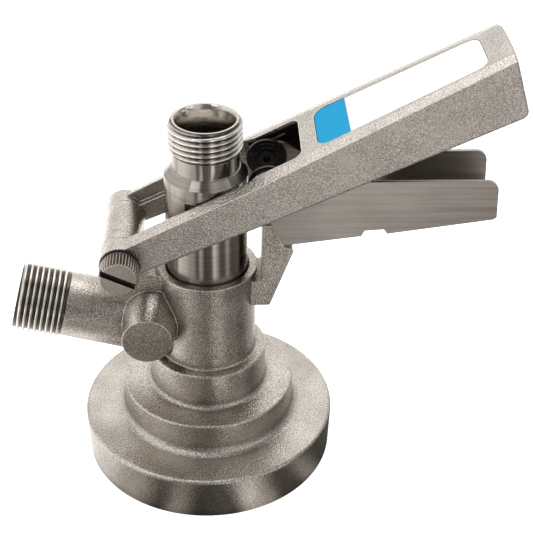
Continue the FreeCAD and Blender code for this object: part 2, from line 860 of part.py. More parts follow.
def place_on_grip(piece, drop):
    """Set a plate on the grip's top, parallel to it, in the lever's own frame."""
    piece.Placement = Placement(Vector(), Rotation(Vector(0, 1, 0), -2))
    piece.setExpression("Placement.Base.x", bound("label_start"))
    piece.setExpression("Placement.Base.z", bound(f"{LABEL_TOP} - {drop}"))
    piece.setExpression("Placement.Rotation.Angle", bound(f"-1 * atan( {LABEL_RISE} )"))


def lever_handle():
    eyes = []
    for side, start in (("near", "- arm_outer"), ("far", "hinge_barrel_half + wall_gap")):
        eyes.append(rod(f"{side}_eye", "hinge_barrel_radius",
                        "arm_outer - hinge_barrel_half - wall_gap", "Y", y=start))
    arms = cut("forked_blank", lever_blank(), fused("lever_hollow", [lever_cavity(), lever_fork()]))
    ribs = []
    for side, start in (("near", "- arm_inner - 0.5"), ("far", "hinge_barrel_half + wall_gap")):
        ribs.append(block(f"{side}_rib", ("4", start, "- rib_bottom"),
                          ("rib_length - 4", "arm_inner + 0.5 - hinge_barrel_half - wall_gap",
                           "rib_top + rib_bottom")))
    solid = fused("lever_solid", [arms] + eyes + ribs)
    near_hole = rod("near_bolt_hole", "hinge_bolt_radius + seat_fit", "arm_outer", "Y",
                    y="- arm_outer - 1")
    far_hole = rod("far_bolt_hole", "hinge_bolt_radius + seat_fit", "arm_outer - 1.5", "Y")
    pin_holes = rod("pin_holes", "drive_pin_radius + seat_fit", "2 * ( arm_inner + pin_embed )",
                    "Y", "drive_pin_along", "- arm_inner - pin_embed", "drive_pin_above")
    screw_holes = rod("screw_holes", "screw_shank_radius + seat_fit",
                      "2 * ( arm_inner + pin_embed )", "Y", "pivot_along",
                      "- arm_inner - pin_embed", "pivot_above")
    recess = label_shape("label_recess_tool", "2 * label_recess", "0.2")
    place_on_grip(recess, "0")
    hollows = fused("lever_holes", [near_hole, far_hole, pin_holes, screw_holes, recess])
    handle = cut("lever_handle", solid, hollows)
    place_on_lever(handle)
    return handle


def label_insert():
    plate = label_shape("label_plate", "label_thickness", "0")
    place_on_grip(plate, "label_recess + label_thickness / 2 + seat_fit")
    label = grouped("label_insert", [plate])
    place_on_lever(label)
    return label


def hinge_bolt():
    head_start = "( 0 - arm_outer - bolt_washer_height - bolt_head_height )"
    head = rod("bolt_head", "bolt_head_radius", "bolt_head_height", "Y", y=head_start)
    shank = rod("bolt_shank", "hinge_bolt_radius",
                "2 * arm_outer + bolt_washer_height - 2.2 + 1", "Y",
                y="0 - arm_outer - bolt_washer_height - 1")
    slot = block("bolt_slot", ("0 - bolt_head_radius - 1", f"{head_start} - 1", "0 - bolt_slot_width / 2"),
                 ("2 * bolt_head_radius + 2", "bolt_slot_depth + 1", "bolt_slot_width"))
    bolt = cut("hinge_bolt", fused("bolt_solid", [head, shank]), slot)
    bolt.Placement = Placement(Vector(), Rotation(Vector(0, 1, 0), 20))
    bolt.setExpression("Placement.Base.x", bound("hinge_x"))
    bolt.setExpression("Placement.Base.z", bound("hinge_z"))
    bolt.setExpression("Placement.Rotation.Angle", bound("0 - bolt_slot_turn - lever_incline"))
    return bolt


def bolt_washer():
    disc = rod("washer_disc", "bolt_head_radius + 0.1", "bolt_washer_height - 2 * seat_fit", "Y",
               y="0 - arm_outer - bolt_washer_height + seat_fit")
    hole = rod("washer_hole", "hinge_bolt_radius + seat_fit", "3 * bolt_washer_height", "Y",
               y="0 - arm_outer - 2 * bolt_washer_height")
    washer = cut("bolt_washer", disc, hole)
    place_on_lever(washer)
    return washer


def drive_pins():
    near = rod("near_drive_pin", "drive_pin_radius", "arm_inner + pin_embed - drive_pin_end - seat_fit",
               "Y", "drive_pin_along", "0 - arm_inner - pin_embed + seat_fit", "drive_pin_above")
    pins = grouped("drive_pins", [near, mirrored(near, "far_drive_pin")])
    place_on_lever(pins)
    return pins


def release_trigger():
    """Bent sheet channel: two side plates joined by the web under the fingers."""
    under = "( ( trigger_front_drop - trigger_rear_drop ) / ( trigger_reach - trigger_front ) )"
    level = f"( 0 - trigger_front_drop + {under} * ( notch_start - trigger_front ) )"
    trigger = padded("release_trigger", "XZ_Plane", [
        ("trigger_front", "- trigger_front_drop"),
        ("notch_start", level),
        ("notch_start + 1", f"{level} + notch_height"),
        ("finger_web_start - 1.6", f"{level} + notch_height + 0.4"),
        ("finger_web_start - 0.5", f"{level} + 0.8"),
        ("trigger_reach - 1.2", "- trigger_rear_drop"),
        ("trigger_reach", "0.8 - trigger_rear_drop"),
        ("trigger_reach - 0.6", "trigger_top"),
        ("trigger_head + 6", "trigger_top"),
        ("trigger_head", "trigger_head"),
        ("- trigger_head", "trigger_head"),
        ("- trigger_head + 1.5", "- 0.8 * trigger_head"),
    ], "2 * trigger_half")
    pocketed(trigger, "channel", "XZ_Plane", [
        ("-30", "-40"),
        ("finger_web_start", "-40"),
        ("finger_web_start", f"{level} + 0.8 + trigger_sheet"),
        ("trigger_reach + 5", "trigger_sheet + 0.6 - trigger_rear_drop"),
        ("trigger_reach + 5", "30"),
        ("-30", "30"),
    ], "2 * ( trigger_half - trigger_sheet )")
    corners = cross_edge_at(
        ("trigger_reach - 0.6", "trigger_top"),
        ("trigger_head", "trigger_head"),
        ("- trigger_head", "trigger_head"),
    )
    rounded(trigger, "trigger_rounding", "trigger_corner", corners)
    nose = cross_edge_at(("trigger_front", "- trigger_front_drop"))
    rounded(trigger, "nose_rounding", "trigger_corner / 4", nose)
    hole = rod("pivot_hole", "bush_barrel_radius + running_fit", "4 * trigger_half", "Y",
               y="- 2 * trigger_half")
    pivoted = cut("trigger_drilled", trigger, hole)
    pivoted.Label = "release_trigger"
    trigger.Label = "trigger_channel"
    pivoted.setExpression("Placement.Base.x", bound(PIVOT_X))
    pivoted.setExpression("Placement.Base.z", bound(PIVOT_Z))
    return pivoted


FLANGE_FACE = "( trigger_half - trigger_sheet - running_fit - bush_flange_height )"


def pivot_bushes():
    """Black bushes on which the two side plates of the trigger turn."""
    flange = rod("bush_flange", "bush_flange_radius", "bush_flange_height", "Y", y=FLANGE_FACE)
    barrel = rod("bush_barrel", "bush_barrel_radius", f"trigger_half + wall_gap / 2 - {FLANGE_FACE}",
                 "Y", y=FLANGE_FACE)
    spigot = rod("bush_spigot", "bush_spigot_radius", f"arm_inner - seat_fit - {FLANGE_FACE}", "Y",
                 y=FLANGE_FACE)
    sink = rod("bush_sink", "screw_head_radius + seat_fit",
               "screw_head_height - screw_head_proud + 1", "Y", y=f"{FLANGE_FACE} - 1")
    bore = rod("bush_bore", "screw_shank_radius + seat_fit", "arm_outer", "Y", y=FLANGE_FACE)
    far = cut("far_bush", fused("bush_solid", [flange, barrel, spigot]), fused("bush_hollow", [sink, bore]))
    bushes = grouped("pivot_bushes", [far, mirrored(far, "near_bush")])
    far.setExpression("Placement.Base.x", bound("pivot_along"))
    far.setExpression("Placement.Base.z", bound("pivot_above"))
    place_on_lever(bushes)
    return bushes


def pivot_screws():
    head_start = f"( {FLANGE_FACE} - screw_head_proud )"
    head = rod("screw_head", "screw_head_radius", "screw_head_height - seat_fit", "Y", y=head_start)
    shank = rod("screw_shank", "screw_shank_radius",
                f"arm_inner + pin_embed - seat_fit - {head_start}", "Y", y=head_start)
    socket = doc.addObject("Part::Prism", "screw_socket")
    socket.Polygon = 6
    socket.Placement = Placement(Vector(), Rotation(Vector(1, 0, 0), -90))
    socket.setExpression("Circumradius", bound("screw_socket_radius"))
    socket.setExpression("Height", "2.5")
    socket.setExpression("Placement.Base.y", bound(f"{head_start} - 1"))
    far = cut("far_screw", fused("screw_solid", [head, shank]), socket)
    far.setExpression("Placement.Base.x", bound("pivot_along"))
    far.setExpression("Placement.Base.z", bound("pivot_above"))
    screws = grouped("pivot_screws", [far, mirrored(far, "near_screw")])
    place_on_lever(screws)
    return screws


def trigger_springs():
    """Torsion springs round the bushes, between the side plates and the arms."""
    start = "( trigger_half + wall_gap + spring_wire_radius )"
    pitch = "( 2 * spring_wire_radius + 0.1 )"
    helix = doc.addObject("Part::Helix", "spring_helix")
    helix.Placement = Placement(Vector(), Rotation(Vector(1, 0, 0), -90))
    helix.setExpression("Radius", bound("spring_coil_radius"))
    helix.setExpression("Pitch", bound(pitch))
    helix.setExpression("Height", bound(f"{pitch} * spring_turns"))
    helix.setExpression("Placement.Base.y", bound(start))
    finish = f"{start} + {pitch} * spring_turns"
    legs = (
        ("front_leg", "spring_coil_radius", start, "spring_leg", "spring_coil_radius", "0"),
        ("back_leg", "0", finish, "- spring_coil_radius", "- spring_leg", "- spring_coil_radius"),
    )
    lines = []
    for name, x1, along, z1, x2, z2 in legs:
        leg = doc.addObject("Part::Line", name)
        ends = {"X1": x1, "Y1": along, "Z1": z1, "X2": x2, "Y2": along, "Z2": z2}
        for key, text in ends.items():
            leg.setExpression(key, bound(text))
        lines.append(leg)
    path = grouped("spring_path", [lines[0], helix, lines[1]])
    section = doc.addObject("Part::Circle", "spring_section")
    section.setExpression("Radius", bound("spring_wire_radius"))
    section.setExpression("Placement.Base.x", bound("spring_coil_radius"))
    section.setExpression("Placement.Base.y", bound(start))
    section.setExpression("Placement.Base.z", bound("spring_leg"))
    far = doc.addObject("Part::Sweep", "far_spring")
    far.Sections = [section]
    far.Spine = (path, ["Edge1", "Edge2", "Edge3"])
    far.Solid = True
    far.Transition = "Transformed"
    doc.recompute()
    far.Placement = Placement(Vector(), Rotation(Vector(0, 1, 0), 180))
    far.setExpression("Placement.Base.x", bound("pivot_along"))
    far.setExpression("Placement.Base.z", bound("pivot_above"))
    springs = grouped("trigger_springs", [far, mirrored(far, "near_spring")])
    place_on_lever(springs)
    return springs


def build():
    nodes = {
        "body_casting": body_casting(),
        "keg_seal": keg_seal(),
        "upper_o_ring": o_ring("upper_o_ring", "upper_o_ring_z"),
        "lower_o_ring": o_ring("lower_o_ring", "lower_o_ring_z"),
        "gas_check_valve": gas_check_valve(),
        "check_valve_ring": valve_ring(),
        "probe": probe(),
        "probe_seal": probe_seal(),
        "check_ball": check_ball(),
        "ball_retainer": ball_retainer(),
        "lever_handle": lever_handle(),
        "hinge_bolt": hinge_bolt(),
        "bolt_washer": bolt_washer(),
        "drive_pins": drive_pins(),
        "release_trigger": release_trigger(),
        "pivot_bushes": pivot_bushes(),
        "pivot_screws": pivot_screws(),
        "trigger_springs": trigger_springs(),
        "label_insert": label_insert(),
    }
    return nodes


def check_and_export(nodes):
    doc.recompute()
    for item in doc.Objects:
        if "Invalid" in item.State or "Error" in item.State:
            raise RuntimeError(f"{item.Name} did not build: {item.State}")
    os.makedirs("parts", exist_ok=True)
    for name, item in nodes.items():
        if item.Shape.isNull() or not item.Shape.isValid():
            raise RuntimeError(f"{name} has no valid shape")
        item.Shape.exportStep(f"parts/{name}.step")


check_and_export(build())
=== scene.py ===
"""Looks of the keg coupler: materials, threads, knurling, light and camera."""
import math

import bmesh
import bpy
from mathutils import Matrix, Vector

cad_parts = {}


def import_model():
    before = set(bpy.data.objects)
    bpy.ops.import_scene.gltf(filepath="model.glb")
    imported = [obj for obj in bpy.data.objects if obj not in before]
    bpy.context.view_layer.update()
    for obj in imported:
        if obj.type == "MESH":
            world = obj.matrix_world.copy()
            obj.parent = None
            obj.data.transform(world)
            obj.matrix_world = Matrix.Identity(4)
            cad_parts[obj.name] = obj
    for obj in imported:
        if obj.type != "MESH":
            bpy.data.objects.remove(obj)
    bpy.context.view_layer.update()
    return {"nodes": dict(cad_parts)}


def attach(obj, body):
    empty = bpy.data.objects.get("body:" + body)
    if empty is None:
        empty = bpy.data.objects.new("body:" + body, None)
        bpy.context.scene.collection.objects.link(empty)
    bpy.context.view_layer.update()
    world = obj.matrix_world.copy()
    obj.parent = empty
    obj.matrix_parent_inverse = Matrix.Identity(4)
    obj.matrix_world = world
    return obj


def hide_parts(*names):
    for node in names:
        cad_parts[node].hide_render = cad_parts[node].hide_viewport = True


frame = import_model()
nodes = frame["nodes"]
MM = 0.001

# Places that scene.py shares with the part's source, in millimetres
INLET_HEIGHT = 44.0
INLET_TILT = math.radians(13.8)
INLET_THREAD_START = 47.35
INLET_END = 63.0
OUTLET_THREAD_START = 111.85
OUTLET_END = 122.4
HINGE = Vector((-26.3, 0, 81.1)) * MM
INCLINE = math.radians(26)
HEAD_BACK = -18.1
HEAD_LENGTH = 6.9
HEAD_RADIUS = 6.1
SLOT_TURN = math.radians(26)
THREAD_RADIUS = 11.455
THREAD_PITCH = 1.814
THREAD_DEPTH = 1.12


# Materials

class Shader:
    """Short way to write a node material."""

    def __init__(self, name):
        self.material = bpy.data.materials.new(name)
        self.material.use_nodes = True
        self.tree = self.material.node_tree
        self.bsdf = self.tree.nodes["Principled BSDF"]
        self.place = self.add("ShaderNodeTexCoord").outputs["Object"]

    def add(self, kind, **values):
        node = self.tree.nodes.new(kind)
        for key, value in values.items():
            if hasattr(node, key):
                setattr(node, key, value)
        return node

    def link(self, source, target):
        self.tree.links.new(source, target)

    def feed(self, target, value):
        if isinstance(value, bpy.types.NodeSocket):
            self.link(value, target)
        else:
            target.default_value = value

    def math(self, operation, a, b=0.0, c=0.0):
        node = self.add("ShaderNodeMath", operation=operation)
        for socket, value in zip(node.inputs, (a, b, c)):
            self.feed(socket, value)
        return node.outputs[0]

    def stretch(self, scale, rotation=(0, 0, 0), source=None):
        node = self.add("ShaderNodeMapping")
        self.link(source or self.place, node.inputs["Vector"])
        node.inputs["Scale"].default_value = scale
        node.inputs["Rotation"].default_value = rotation
        return node.outputs[0]

    def noise(self, scale, detail=3.0, source=None, roughness=0.55):
        node = self.add("ShaderNodeTexNoise")
        self.link(source or self.place, node.inputs["Vector"])
        node.inputs["Scale"].default_value = scale
        node.inputs["Detail"].default_value = detail
        node.inputs["Roughness"].default_value = roughness
        return node.outputs["Fac"]

    def cells(self, scale, source=None):
        node = self.add("ShaderNodeTexVoronoi")
        self.link(source or self.place, node.inputs["Vector"])
        node.inputs["Scale"].default_value = scale
        return node.outputs["Distance"]

    def spread(self, value, low, high, out_low, out_high):
        node = self.add("ShaderNodeMapRange")
        for socket, item in zip(node.inputs, (value, low, high, out_low, out_high)):
            self.feed(socket, item)
        return node.outputs[0]

    def mix(self, factor, a, b):
        node = self.add("ShaderNodeMix", data_type="RGBA")
        self.feed(node.inputs["Factor"], factor)
        self.feed(node.inputs["A"], a if isinstance(a, bpy.types.NodeSocket) else (*a, 1))
        self.feed(node.inputs["B"], b if isinstance(b, bpy.types.NodeSocket) else (*b, 1))
        return node.outputs["Result"]

    def ramp(self, value, stops):
        """Smooth curve through (position, level) pairs."""
        node = self.add("ShaderNodeValToRGB")
        self.feed(node.inputs["Fac"], value)
        node.color_ramp.interpolation = "EASE"
        elements = node.color_ramp.elements
        while len(elements) < len(stops):
            elements.new(0.5)
        for element, (position, level) in zip(elements, stops):
            element.position = position
            element.color = (level, level, level, 1)
        return node.outputs["Color"]

    def axis_distance(self, origin, direction):
        """Distance of the place from an origin, along a direction."""
        shift = self.add("ShaderNodeVectorMath", operation="SUBTRACT")
        self.link(self.place, shift.inputs[0])
        shift.inputs[1].default_value = origin
        along = self.add("ShaderNodeVectorMath", operation="DOT_PRODUCT")
        self.link(shift.outputs[0], along.inputs[0])
        along.inputs[1].default_value = direction
        return along.outputs["Value"]

    def axis_radius(self, origin, direction):
        """Distance of the place from an axis."""
        shift = self.add("ShaderNodeVectorMath", operation="SUBTRACT")
        self.link(self.place, shift.inputs[0])
        shift.inputs[1].default_value = origin
        across = self.add("ShaderNodeVectorMath", operation="CROSS_PRODUCT")
        self.link(shift.outputs[0], across.inputs[0])
        across.inputs[1].default_value = direction
        length = self.add("ShaderNodeVectorMath", operation="LENGTH")
        self.link(across.outputs[0], length.inputs[0])
        return length.outputs["Value"]

    def edges(self, radius):
        """0 on flat places, up to 1 on edges."""
        bevel = self.add("ShaderNodeBevel", samples=6)
        bevel.inputs["Radius"].default_value = radius
        geometry = self.add("ShaderNodeNewGeometry")
        dot = self.add("ShaderNodeVectorMath", operation="DOT_PRODUCT")
        self.link(bevel.outputs[0], dot.inputs[0])
        self.link(geometry.outputs["Normal"], dot.inputs[1])
        return self.spread(dot.outputs["Value"], 0.985, 0.85, 0.0, 1.0), bevel.outputs[0]

    def corner_shade(self, reach):
        """0 in the open, up to 1 deep in a corner, from ambient occlusion; it marks where shade is painted.
        """
        node = self.add("ShaderNodeAmbientOcclusion", samples=6)
        node.inputs["Distance"].default_value = reach
        return self.spread(node.outputs["AO"], 0.25, 0.95, 1.0, 0.0)

    def bump(self, height, strength, distance, normal=None):
        node = self.add("ShaderNodeBump")
        node.inputs["Strength"].default_value = strength
        node.inputs["Distance"].default_value = distance
        self.feed(node.inputs["Height"], height)
        if normal is not None:
            self.link(normal, node.inputs["Normal"])
        return node.outputs[0]

    def turned(self, amount):
        """Lathe marks run round Z, so reflections spread along it."""
        tangent = self.add("ShaderNodeTangent", direction_type="RADIAL", axis="Z")
        self.link(tangent.outputs[0], self.bsdf.inputs["Tangent"])
        self.bsdf.inputs["Anisotropic"].default_value = amount
        self.bsdf.inputs["Anisotropic Rotation"].default_value = 0.25

    def finish(self, color, roughness, normal, metallic=1.0, **others):
        self.feed(self.bsdf.inputs["Base Color"], color)
        self.feed(self.bsdf.inputs["Roughness"], roughness)
        self.bsdf.inputs["Metallic"].default_value = metallic
        self.link(normal, self.bsdf.inputs["Normal"])
        for key, value in others.items():
            self.bsdf.inputs[key.replace("_", " ")].default_value = value
        return self.material


LEVER_ALONG = (math.cos(INCLINE), 0, math.sin(INCLINE))
LEVER_UP = (-math.sin(INCLINE), 0, math.cos(INCLINE))


def core_shade_mask(shader):
    """1 inside the cored grip of the lever, where shade is painted, 0 elsewhere, in the lever's own
    directions.
    """
    along = shader.axis_distance(HINGE, LEVER_ALONG)
    up = shader.axis_distance(HINGE, LEVER_UP)
    across = shader.math("ABSOLUTE", shader.axis_distance((0, 0, 0), (0, 1, 0)))
    inside = shader.spread(along, 0.0462, 0.0470, 0.0, 1.0)
    inside = shader.math("MULTIPLY", inside, shader.spread(across, 0.01355, 0.01345, 0.0, 1.0))
    roof = shader.math("ADD", 0.0045, shader.math("MULTIPLY", along, 0.0315))
    below = shader.spread(shader.math("SUBTRACT", up, roof), 0.0002, -0.0002, 0.0, 1.0)
    wall = shader.spread(shader.math("ADD", across, shader.math("MULTIPLY", along, 0.0435)),
                         0.01735, 0.01705, 0.0, 1.0)
    foot = shader.spread(shader.math("ADD", up, shader.math("MULTIPLY", along, 0.0325)),
                         -0.0049, -0.0044, 0.0, 1.0)
    end = shader.spread(along, 0.1305, 0.1295, 0.0, 1.0)
    for part in (below, wall, foot, end):
        inside = shader.math("MULTIPLY", inside, part)
    return inside


def cast_metal(name, dark, light, scale=2300, grain=0.5, gloss=0.07, paint_core_shade=False):
    """Blasted and plated casting: fine grain, soft blotches, painted shade in the corners and painted
    highlights on the edges; the lever also gets painted shade inside its cored grip.
    """
    shader = Shader(name)
    fine = shader.noise(scale, 3, roughness=0.6)
    grit = shader.cells(0.75 * scale)
    blotch = shader.noise(90, 3)
    edge, soft = shader.edges(0.0005)
    tone = shader.math("ADD", shader.math("MULTIPLY", fine, 0.75), shader.math("MULTIPLY", blotch, 0.25))
    color = shader.mix(shader.spread(tone, 0.40, 0.60, 0.0, 1.0), dark, light)
    # Painted shade: corners and crevices darkened towards brown.
    color = shader.mix(shader.math("MULTIPLY", shader.corner_shade(0.0040), 0.7), color, (0.12, 0.09, 0.065))
    # Painted highlight: edges lightened towards near white.
    color = shader.mix(shader.math("MULTIPLY", edge, 0.7), color, (0.90, 0.87, 0.83))
    rough = shader.spread(blotch, 0.3, 0.7, 0.24 - gloss, 0.31 - gloss)
    rough = shader.math("SUBTRACT", rough, shader.math("MULTIPLY", edge, 0.12))
    if paint_core_shade:
        # Painted shade: the inside of the lever's cored grip is painted near black.
        inside = core_shade_mask(shader)
        color = shader.mix(inside, color, (0.022, 0.020, 0.018))
        rough = shader.math("ADD", rough, shader.math("MULTIPLY", inside, 0.25))
    height = shader.math("ADD", shader.math("MULTIPLY", fine, 0.8), shader.math("MULTIPLY", grit, 0.5))
    normal = shader.bump(height, 0.75 * grain, 0.00035, soft)
    return shader.finish(color, rough, normal)


def turned_metal(name, dark, light, scale, rough_low, rough_high, bump, streaks=0.0):
    """Lathe-turned steel: the marks are rings, so the noise is stretched across the axis."""
    shader = Shader(name)
    rings = shader.noise(1.0, 3, shader.stretch(scale))
    haze = shader.noise(140, 3)
    edge, soft = shader.edges(0.0003)
    color = shader.mix(shader.spread(rings, 0.3, 0.7, 0.0, 1.0), dark, light)
    # Painted highlight: edges lightened towards near white.
    color = shader.mix(shader.math("MULTIPLY", edge, 0.4), color, (0.85, 0.84, 0.82))
    rough = shader.spread(shader.math("ADD", rings, haze), 0.7, 1.3, rough_low, rough_high)
    normal = shader.bump(rings, bump, 0.00006, soft)
    if streaks:
        shader.turned(streaks)
    return shader.finish(color, rough, normal)


def thread_metal(name, origin, direction, dark, light, rough_low, rough_high):
    """Cut thread: painted highlights on the crests and painted shade in the valleys."""
    shader = Shader(name)
    radius = shader.axis_radius(origin, direction)
    marks = shader.noise(1800, 3)
    haze = shader.noise(140, 3)
    _, soft = shader.edges(0.0002)
    valley = shader.math("MULTIPLY", shader.spread(radius, 0.01040, 0.01095, 1.0, 0.0),
                         shader.spread(radius, 0.0101, 0.0102, 0.0, 1.0))
    crest = shader.spread(radius, 0.01125, 0.01142, 0.0, 1.0)
    color = shader.mix(shader.spread(marks, 0.3, 0.7, 0.0, 1.0), dark, light)
    # Painted shade: the thread's valleys darkened to near black.
    color = shader.mix(shader.math("MULTIPLY", valley, 0.88), color, (0.035, 0.027, 0.020))
    # Painted highlight: the thread's crests lightened towards near white.
    color = shader.mix(shader.math("MULTIPLY", crest, 0.65), color, (0.90, 0.88, 0.85))
    rough = shader.spread(shader.math("ADD", marks, haze), 0.7, 1.3, rough_low, rough_high)
    normal = shader.bump(marks, 0.12, 0.00006, soft)
    return shader.finish(color, rough, normal)


def bolt_metal(name, dark, light):
    """Turned steel with painted shade in the slot and in the valleys between the teeth of the knurl."""
    shader = Shader(name)
    face = HINGE + Vector((0, (HEAD_BACK - HEAD_LENGTH) * MM, 0))
    rings = shader.noise(1.0, 3, shader.stretch((900, 25, 900)))
    haze = shader.noise(140, 3)
    edge, soft = shader.edges(0.0003)
    radius = shader.axis_radius(face, (0, 1, 0))
    depth = shader.axis_distance(face, (0, 1, 0))
    slot_side = (math.sin(SLOT_TURN), 0, math.cos(SLOT_TURN))
    across = shader.math("ABSOLUTE", shader.axis_distance(face, slot_side))
    slot = shader.math("MULTIPLY", shader.spread(across, 0.00105, 0.00110, 1.0, 0.0),
                       shader.spread(depth, 0.00005, 0.0002, 0.0, 1.0))
    slot = shader.math("MULTIPLY", slot, shader.spread(depth, 0.0016, 0.0018, 1.0, 0.0))
    valley = shader.math("MULTIPLY", shader.spread(radius, 0.00565, 0.0060, 1.0, 0.0),
                         shader.spread(radius, 0.00545, 0.0055, 0.0, 1.0))
    valley = shader.math("MULTIPLY", valley, shader.spread(depth, 0.0003, 0.0005, 0.0, 1.0))
    groove_shade = shader.math("MAXIMUM", slot, valley)
    color = shader.mix(shader.spread(rings, 0.3, 0.7, 0.0, 1.0), dark, light)
    # Painted highlight: edges lightened towards near white.
    color = shader.mix(shader.math("MULTIPLY", edge, 0.4), color, (0.85, 0.84, 0.82))
    # Painted shade: the slot and the knurl's valleys darkened to near black.
    color = shader.mix(shader.math("MULTIPLY", groove_shade, 0.9), color, (0.030, 0.022, 0.016))
    rough = shader.spread(shader.math("ADD", rings, haze), 0.7, 1.3, 0.22, 0.32)
    rough = shader.math("ADD", rough, shader.math("MULTIPLY", groove_shade, 0.2))
    normal = shader.bump(rings, 0.12, 0.00006, soft)
    return shader.finish(color, rough, normal)


def brushed_metal(name, dark, light):
    """Sheet brushed lengthwise: long fine lines along X."""
    shader = Shader(name)
    lines = shader.noise(1.0, 5, shader.stretch((60, 5200, 5200)), 0.7)
    long_lines = shader.noise(1.0, 2, shader.stretch((18, 900, 900)))
    haze = shader.noise(60, 2)
    edge, soft = shader.edges(0.0003)
    tone = shader.math("ADD", shader.math("MULTIPLY", lines, 0.6), shader.math("MULTIPLY", long_lines, 0.4))
    color = shader.mix(shader.spread(tone, 0.38, 0.62, 0.0, 1.0), dark, light)
    # Painted highlight: edges lightened towards near white.
    color = shader.mix(shader.math("MULTIPLY", edge, 0.5), color, (0.85, 0.83, 0.80))
    rough = shader.spread(shader.math("ADD", tone, haze), 0.8, 1.2, 0.30, 0.42)
    normal = shader.bump(tone, 0.22, 0.00008, soft)
    return shader.finish(color, rough, normal, Anisotropic=0.4)


def plastic(name, dark, light, rough_low, rough_high, scale=900, bump=0.12):
    shader = Shader(name)
    grain = shader.noise(scale, 4)
    haze = shader.noise(70, 2)
    _, soft = shader.edges(0.0003)
    color = shader.mix(shader.spread(grain, 0.35, 0.65, 0.0, 1.0), dark, light)
    rough = shader.spread(haze, 0.3, 0.7, rough_low, rough_high)
    normal = shader.bump(grain, bump, 0.0001, soft)
    return shader.finish(color, rough, normal, 0.0)


def bush_plastic(name):
    """Black moulding with concentric steps about the trigger's pivot."""
    shader = Shader(name)
    pivot = HINGE + 0.0508 * Vector(LEVER_ALONG) + 0.001 * Vector(LEVER_UP)
    along = shader.axis_distance(pivot, LEVER_ALONG)
    up = shader.axis_distance(pivot, LEVER_UP)
    radius = shader.math("SQRT", shader.math("ADD", shader.math("MULTIPLY", along, along),
                                             shader.math("MULTIPLY", up, up)))
    grain = shader.noise(1500, 3)
    _, soft = shader.edges(0.0003)
    steps = shader.spread(radius, 0.0036, 0.0039, 1.0, 0.0)
    steps = shader.math("ADD", steps, shader.spread(radius, 0.0049, 0.0052, 1.0, 0.0))
    height = shader.math("ADD", steps, shader.math("MULTIPLY", grain, 0.1))
    color = shader.mix(grain, (0.004, 0.004, 0.004), (0.010, 0.010, 0.010))
    rough = shader.spread(grain, 0.3, 0.7, 0.24, 0.34)
    normal = shader.bump(height, 0.9, 0.0003, soft)
    return shader.finish(color, rough, normal, 0.0, Specular_IOR_Level=0.35)


def label_film(name):
    """Printed film without words: a blue end panel, and white for the rest."""
    shader = Shader(name)
    distance = shader.axis_distance(HINGE, LEVER_ALONG)
    fibre = shader.noise(1400, 3)
    haze = shader.noise(55, 2)
    white = shader.mix(shader.spread(haze, 0.3, 0.7, 0.0, 1.0), (0.88, 0.88, 0.88), (0.93, 0.93, 0.93))
    blue = shader.mix(shader.spread(haze, 0.3, 0.7, 0.0, 1.0), (0.0, 0.32, 0.62), (0.0, 0.35, 0.66))
    panel = shader.math("LESS_THAN", distance, 0.0805)
    color = shader.mix(panel, white, blue)
    _, soft = shader.edges(0.0002)
    normal = shader.bump(fibre, 0.04, 0.00005, soft)
    rough = shader.spread(haze, 0.3, 0.7, 0.45, 0.55)
    return shader.finish(color, rough, normal, 0.0, Specular_IOR_Level=0.12)


CAST_BODY = cast_metal("cast_body", (0.32, 0.288, 0.255), (0.64, 0.605, 0.56))
CAST_LEVER = cast_metal("cast_lever", (0.37, 0.335, 0.305), (0.60, 0.565, 0.53),
                        scale=2000, grain=0.8, gloss=0.02, paint_core_shade=True)
# Painted shade: the probe's shaft gets a darker steel than its thread, standing in for the dark reflections
# it shows.
PROBE_STEEL = turned_metal("probe_steel", (0.27, 0.245, 0.22), (0.38, 0.355, 0.325), (25, 25, 5200),
                           0.15, 0.20, 0.06, streaks=0.93)
BOLT_STEEL = bolt_metal("bolt_steel", (0.36, 0.32, 0.28), (0.47, 0.43, 0.39))
INLET_AXIS = Vector((-math.cos(INLET_TILT), 0, math.sin(INLET_TILT)))
THREAD_STEEL = thread_metal("thread_steel", (0, 0, 0), (0, 0, 1), (0.52, 0.49, 0.45),
                            (0.66, 0.63, 0.59), 0.10, 0.18)
INLET_STEEL = thread_metal("inlet_steel", (0, 0, INLET_HEIGHT * MM), INLET_AXIS, (0.50, 0.465, 0.425),
                           (0.66, 0.625, 0.585), 0.14, 0.24)
TRIGGER_STEEL = brushed_metal("trigger_steel", (0.30, 0.275, 0.25), (0.47, 0.44, 0.41))
SPRING_STEEL = turned_metal("spring_steel", (0.30, 0.29, 0.28), (0.42, 0.41, 0.40), (700, 700, 700),
                            0.25, 0.35, 0.1)
RUBBER = plastic("black_rubber", (0.010, 0.010, 0.011), (0.022, 0.022, 0.023), 0.55, 0.75)
BLACK = plastic("black_plastic", (0.006, 0.006, 0.007), (0.016, 0.016, 0.017), 0.28, 0.42)
BUSH = bush_plastic("bush_black")
BLACK_SCREW = plastic("black_screw", (0.010, 0.010, 0.010), (0.022, 0.021, 0.020), 0.22, 0.34, 1500)
BALL = plastic("ball_white", (0.78, 0.77, 0.74), (0.86, 0.85, 0.83), 0.18, 0.28, 500, 0.03)
LABEL = label_film("label_film")

BY_NODE = {
    "body_casting": CAST_BODY, "keg_seal": RUBBER, "upper_o_ring": RUBBER, "lower_o_ring": RUBBER,
    "gas_check_valve": RUBBER, "check_valve_ring": BLACK, "probe": PROBE_STEEL, "probe_seal": RUBBER,
    "check_ball": BALL, "ball_retainer": BLACK, "lever_handle": CAST_LEVER, "hinge_bolt": BOLT_STEEL,
    "bolt_washer": BLACK, "drive_pins": BOLT_STEEL, "release_trigger": TRIGGER_STEEL,
    "pivot_bushes": BUSH, "pivot_screws": BLACK_SCREW, "trigger_springs": SPRING_STEEL,
    "label_insert": LABEL,
}
for node_name, material in BY_NODE.items():
    data = nodes[node_name].data
    data.materials.clear()
    data.materials.append(material)


# Pieces

